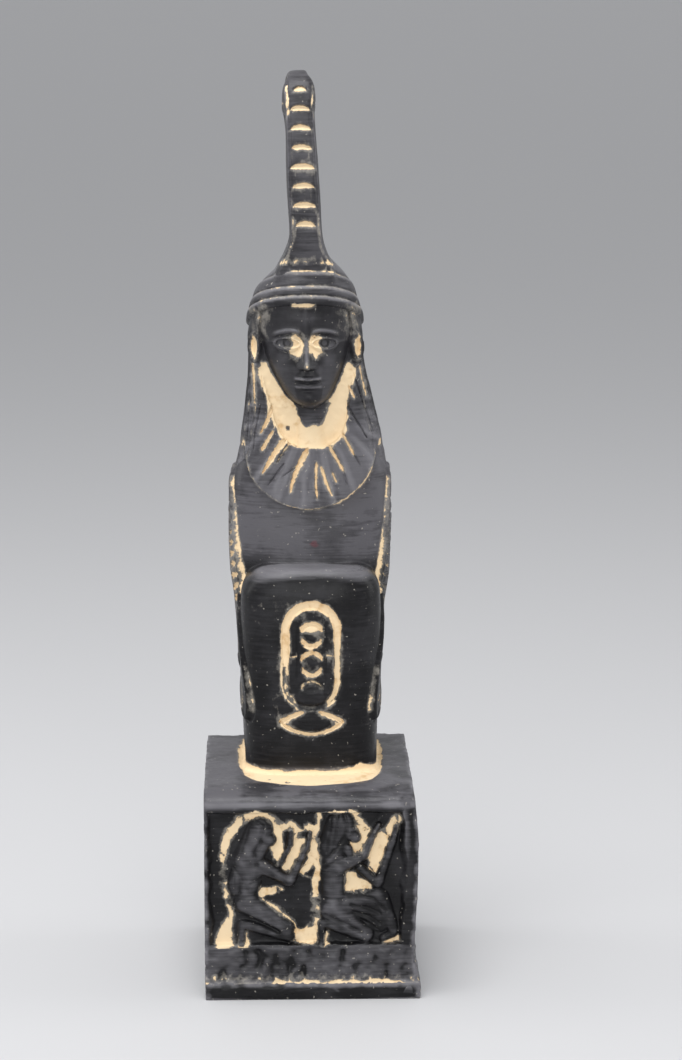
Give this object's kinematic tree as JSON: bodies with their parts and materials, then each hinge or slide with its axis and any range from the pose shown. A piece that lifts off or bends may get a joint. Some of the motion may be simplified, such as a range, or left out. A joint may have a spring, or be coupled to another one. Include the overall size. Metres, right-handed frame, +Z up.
{
  "type": "maat statue",
  "caption": "Small cast statue of a kneeling winged goddess with a tall upright feather on her head, in one with a cube plinth carved with kneeling worshippers.",
  "frame": {"origin": "under the middle of the plinth, on the surface that it stands on", "axes": "+Z up, the figure looks towards -Y, +X to the viewer's right"},
  "size_m": [0.0636, 0.068, 0.2689],
  "materials": {
    "painted_stone": "satin black paint, brushed on, worn off in the hollows to pale cream cast stone"
  },
  "bodies": {
    "root": {"maat_statue": "painted_stone"}
  },
  "joints": []
}
